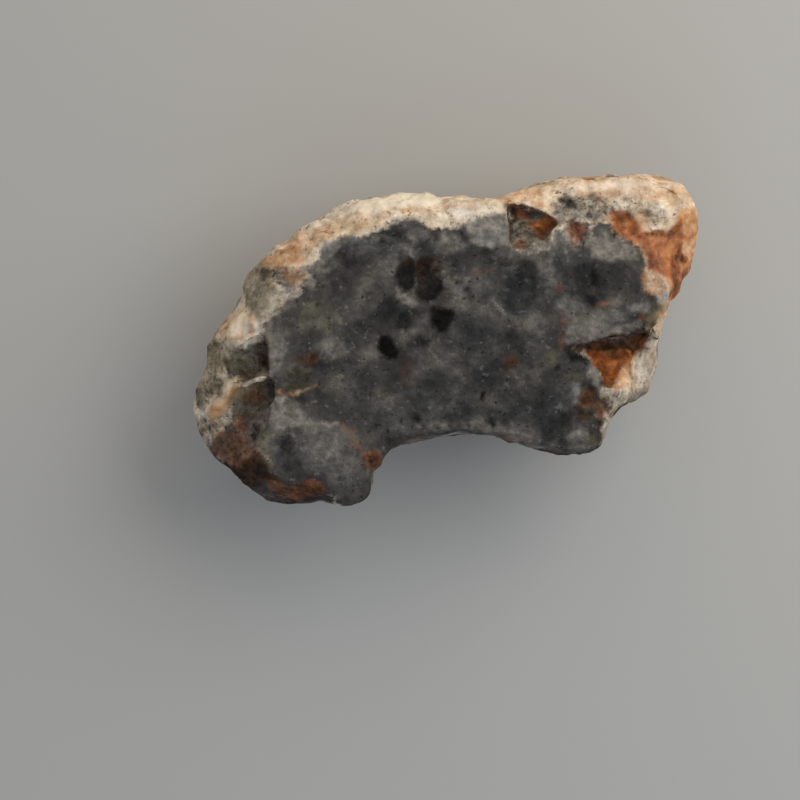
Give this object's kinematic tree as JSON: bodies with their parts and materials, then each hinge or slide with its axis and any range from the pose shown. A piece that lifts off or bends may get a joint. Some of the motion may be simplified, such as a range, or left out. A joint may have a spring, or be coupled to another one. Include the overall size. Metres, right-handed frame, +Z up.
{
  "type": "lunar meteorite fragment",
  "caption": "Small breccia stone with one flat dark broken face, a weathered cream and rust rind, a side cavity and a small flat to rest on.",
  "frame": {"origin": "under the middle of the stone's box, on the plane that it rests on", "axes": "+Z up, out of the flat broken face; +X along the stone's length, towards the end with the side cavity; +Y across it, towards the long cream rind"},
  "size_m": [0.0101, 0.0067, 0.0037],
  "materials": {
    "lunar_breccia": "matte broken stone, dark grey with darker clasts, and a cream, tan and rust-orange weathered rind"
  },
  "bodies": {
    "root": {"meteorite": "lunar_breccia"}
  },
  "joints": []
}
